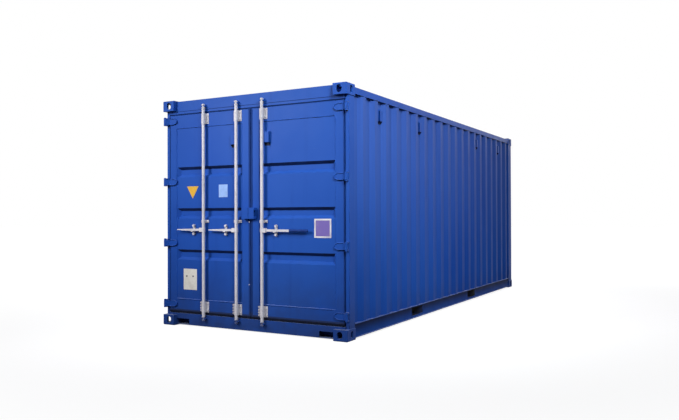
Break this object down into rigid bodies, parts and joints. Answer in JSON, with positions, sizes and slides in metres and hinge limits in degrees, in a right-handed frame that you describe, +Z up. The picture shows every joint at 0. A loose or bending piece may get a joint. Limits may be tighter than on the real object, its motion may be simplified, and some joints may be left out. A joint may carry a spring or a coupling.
{
  "type": "shipping container",
  "caption": "Twenty-foot steel dry freight container with corrugated walls, corner castings, hinged double doors with lock rods, plywood floor and fork pockets.",
  "frame": {"origin": "centre of the plan, at the level of the undersides of the bottom corner fittings", "axes": "+Z up, +Y from the door end to the closed end, +X to the right when facing the doors"},
  "size_m": [2.438, 6.058, 2.591],
  "materials": {
    "blue_paint": "satin",
    "galvanised_steel": "satin",
    "door_rubber": "matte",
    "floor_plywood": "matte"
  },
  "bodies": {
    "container_frame": {"bottom_corner_fittings": "blue_paint", "top_corner_fittings": "blue_paint", "door_posts": "blue_paint", "front_posts": "blue_paint", "door_header": "blue_paint", "header_shoulders": "blue_paint", "door_sill": "blue_paint", "sill_shoulders": "blue_paint", "seal_lips": "blue_paint", "top_side_rails": "blue_paint", "bottom_side_rails": "blue_paint", "bottom_rail_lips": "blue_paint", "fork_mouth_plates": "blue_paint", "front_rails": "blue_paint", "right_side_wall": "blue_paint", "left_side_wall": "blue_paint", "front_wall": "blue_paint", "roof": "blue_paint", "roof_end_plate": "blue_paint", "floor_boards": "floor_plywood", "cross_members": "blue_paint", "fork_pocket_plates": "blue_paint", "fork_pocket_sides": "blue_paint", "keepers": "blue_paint", "hinge_lugs": "blue_paint", "hinge_pins": "blue_paint", "side_vents": "blue_paint"},
    "left_door": {"left_door_stiles": "blue_paint", "left_door_rails": "blue_paint", "left_door_panel": "blue_paint", "left_door_gasket": "door_rubber", "left_hinge_blades": "blue_paint", "left_rod_brackets": "galvanised_steel", "left_handle_catches": "galvanised_steel", "left_lock_box": "blue_paint", "left_door_vent": "blue_paint"},
    "right_door": {"right_door_stiles": "blue_paint", "right_door_rails": "blue_paint", "right_door_panel": "blue_paint", "right_door_gasket": "door_rubber", "right_hinge_blades": "blue_paint", "right_rod_brackets": "galvanised_steel", "right_handle_catch": "galvanised_steel", "right_lock_box": "blue_paint", "right_door_vent": "blue_paint"},
    "left_outer_lock": {"left_outer_rod": "galvanised_steel"},
    "left_outer_lever": {"left_outer_handle": "galvanised_steel"},
    "left_inner_lock": {"left_inner_rod": "galvanised_steel"},
    "left_inner_lever": {"left_inner_handle": "galvanised_steel"},
    "right_lock": {"right_rod": "galvanised_steel"},
    "right_lever": {"right_handle": "galvanised_steel"}
  },
  "joints": [
    {"name": "right_door_swing", "type": "hinge", "parent": "container_frame", "child": "right_door", "pos_m": [1.203, -3.011, 1.3], "axis": [0, 0, 1], "range_deg": [0, 260]},
    {"name": "left_door_swing", "type": "hinge", "parent": "container_frame", "child": "left_door", "pos_m": [-1.203, -3.011, 1.3], "axis": [0, 0, -1], "range_deg": [0, 260]},
    {"name": "left_outer_rod_turn", "type": "hinge", "parent": "left_door", "child": "left_outer_lock", "pos_m": [-0.632, -3.008, 1.102], "axis": [0, 0, -1], "range_deg": [-100, 0]},
    {"name": "left_inner_rod_turn", "type": "hinge", "parent": "left_door", "child": "left_inner_lock", "pos_m": [-0.172, -3.008, 1.102], "axis": [0, 0, -1], "range_deg": [-100, 0]},
    {"name": "right_rod_turn", "type": "hinge", "parent": "right_door", "child": "right_lock", "pos_m": [0.172, -3.008, 1.102], "axis": [0, 0, 1], "range_deg": [-100, 0]},
    {"name": "left_outer_handle_lift", "type": "hinge", "parent": "left_outer_lock", "child": "left_outer_lever", "pos_m": [-0.67, -3.008, 1.102], "axis": [0, 1, 0], "range_deg": [0, 20]},
    {"name": "left_inner_handle_lift", "type": "hinge", "parent": "left_inner_lock", "child": "left_inner_lever", "pos_m": [-0.21, -3.008, 1.102], "axis": [0, 1, 0], "range_deg": [0, 20]},
    {"name": "right_handle_lift", "type": "hinge", "parent": "right_lock", "child": "right_lever", "pos_m": [0.21, -3.008, 1.102], "axis": [0, -1, 0], "range_deg": [0, 20]}
  ]
}
